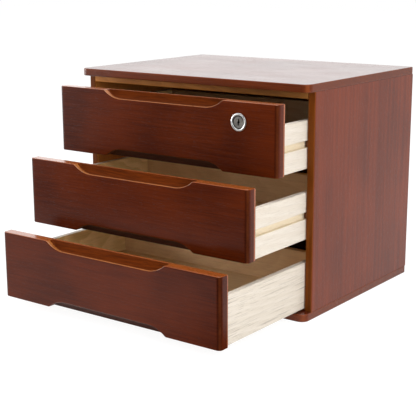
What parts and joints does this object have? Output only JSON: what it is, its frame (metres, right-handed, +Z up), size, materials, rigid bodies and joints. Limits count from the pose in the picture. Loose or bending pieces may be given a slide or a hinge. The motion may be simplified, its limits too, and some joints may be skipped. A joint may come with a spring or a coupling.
{
  "type": "desktop file drawer",
  "caption": "Wooden desktop file cabinet: stacked drawers with ogee finger scoops slide out on side runners, and a cam lock in the upper front turns up behind a rail.",
  "frame": {"origin": "middle of the lower board's underside, between the side panels and between the boards' front and rear edges", "axes": "+Z up, drawers open along -Y, +X to the right seen from the front"},
  "size_m": [0.37, 0.4457, 0.298],
  "materials": {
    "case_wood": "red-brown stain under satin lacquer",
    "front_wood": "dark red-brown stain under gloss lacquer",
    "box_wood": "planed, unstained",
    "runner_wood": "stained, waxed",
    "back_wood": "stained sheet",
    "dowel_wood": "plain",
    "lock_chrome": "bright plate",
    "lock_steel": "zinc plate",
    "screw_steel": "zinc plate"
  },
  "bodies": {
    "carcass": {"top_board": "case_wood", "bottom_board": "case_wood", "left_side_panel": "case_wood", "right_side_panel": "case_wood", "back_panel": "back_wood", "lock_rail": "case_wood", "top_left_runner": "runner_wood", "top_right_runner": "runner_wood", "middle_left_runner": "runner_wood", "middle_right_runner": "runner_wood", "left_glide_strip": "runner_wood", "right_glide_strip": "runner_wood", "lower_dowels": "dowel_wood", "upper_dowels": "dowel_wood", "runner_screws": "screw_steel"},
    "top_drawer": {"top_front": "front_wood", "top_left_side": "box_wood", "top_right_side": "box_wood", "top_back": "box_wood", "top_bottom": "box_wood", "lock_barrel": "lock_chrome", "lock_nut": "lock_steel"},
    "middle_drawer": {"middle_front": "front_wood", "middle_left_side": "box_wood", "middle_right_side": "box_wood", "middle_back": "box_wood", "middle_bottom": "box_wood"},
    "bottom_drawer": {"bottom_front": "front_wood", "bottom_left_side": "box_wood", "bottom_right_side": "box_wood", "bottom_back": "box_wood", "bottom_bottom": "box_wood"},
    "lock_turning": {"lock_plug": "lock_steel", "lock_cam": "lock_steel", "cam_washer": "lock_steel", "cam_screw": "screw_steel"}
  },
  "joints": [
    {"name": "top_drawer_slide", "type": "slide", "parent": "carcass", "child": "top_drawer", "axis": [0, -1, 0], "range_m": [-0.0537, 0.1263]},
    {"name": "middle_drawer_slide", "type": "slide", "parent": "carcass", "child": "middle_drawer", "axis": [0, -1, 0], "range_m": [-0.1138, 0.0662]},
    {"name": "bottom_drawer_slide", "type": "slide", "parent": "carcass", "child": "bottom_drawer", "axis": [0, -1, 0], "range_m": [-0.1679, 0.0121]},
    {"name": "lock_turn", "type": "hinge", "parent": "top_drawer", "child": "lock_turning", "pos_m": [0.1205, -0.1915, 0.2543], "axis": [0, -1, 0], "range_deg": [0, 90]}
  ]
}
